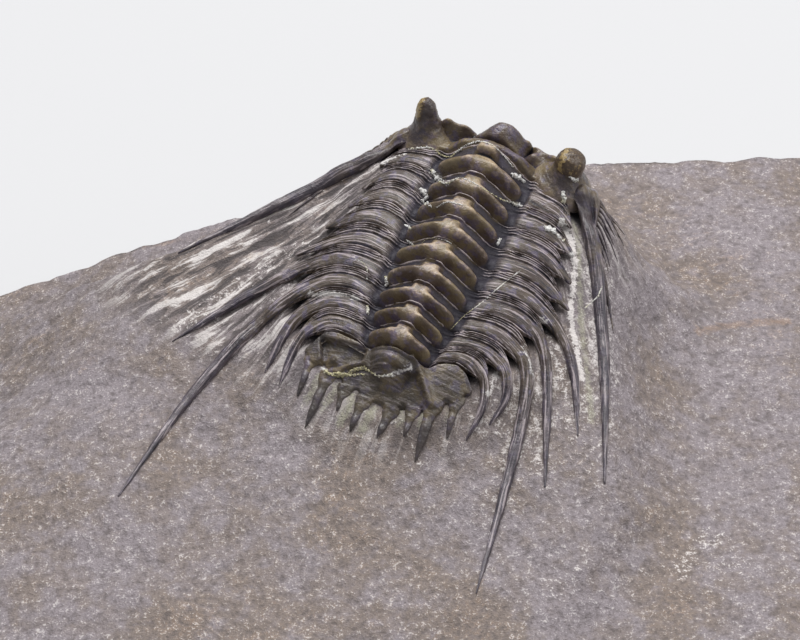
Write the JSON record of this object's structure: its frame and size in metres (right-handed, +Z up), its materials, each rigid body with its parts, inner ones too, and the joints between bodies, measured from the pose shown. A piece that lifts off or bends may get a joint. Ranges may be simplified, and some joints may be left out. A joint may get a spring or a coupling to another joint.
{
  "type": "fossil leonaspis trilobite",
  "caption": "Spiny fossil trilobite with stalked eyes, arched over a mound on a limestone block that is cut flat to stand on a shelf.",
  "frame": {"origin": "middle of the sawn base, at the bottom", "axes": "+Z up, +X to the right of the picture along the block, +Y away from the camera"},
  "size_m": [0.076, 0.06, 0.0292],
  "materials": {
    "limestone": "grey-brown fine limestone, matt, speckled with pale calcite",
    "head_shell": "dark olive-brown calcite shell with a purple tinge, semi-gloss",
    "cheek_shell": "dark brown-purple calcite shell, semi-gloss, eyes yellowish olive",
    "body_shell": "dark olive-brown calcite shell with purple ribs, semi-gloss",
    "tail_shell": "dark olive calcite shell with pale broken edges, semi-gloss"
  },
  "bodies": {
    "root": {"matrix": "limestone", "cranidium": "head_shell", "left_free_cheek": "cheek_shell", "right_free_cheek": "cheek_shell", "thoracic_segment_1": "body_shell", "thoracic_segment_2": "body_shell", "thoracic_segment_3": "body_shell", "thoracic_segment_4": "body_shell", "thoracic_segment_5": "body_shell", "thoracic_segment_6": "body_shell", "thoracic_segment_7": "body_shell", "thoracic_segment_8": "body_shell", "thoracic_segment_9": "body_shell", "pygidium": "tail_shell"}
  },
  "joints": []
}
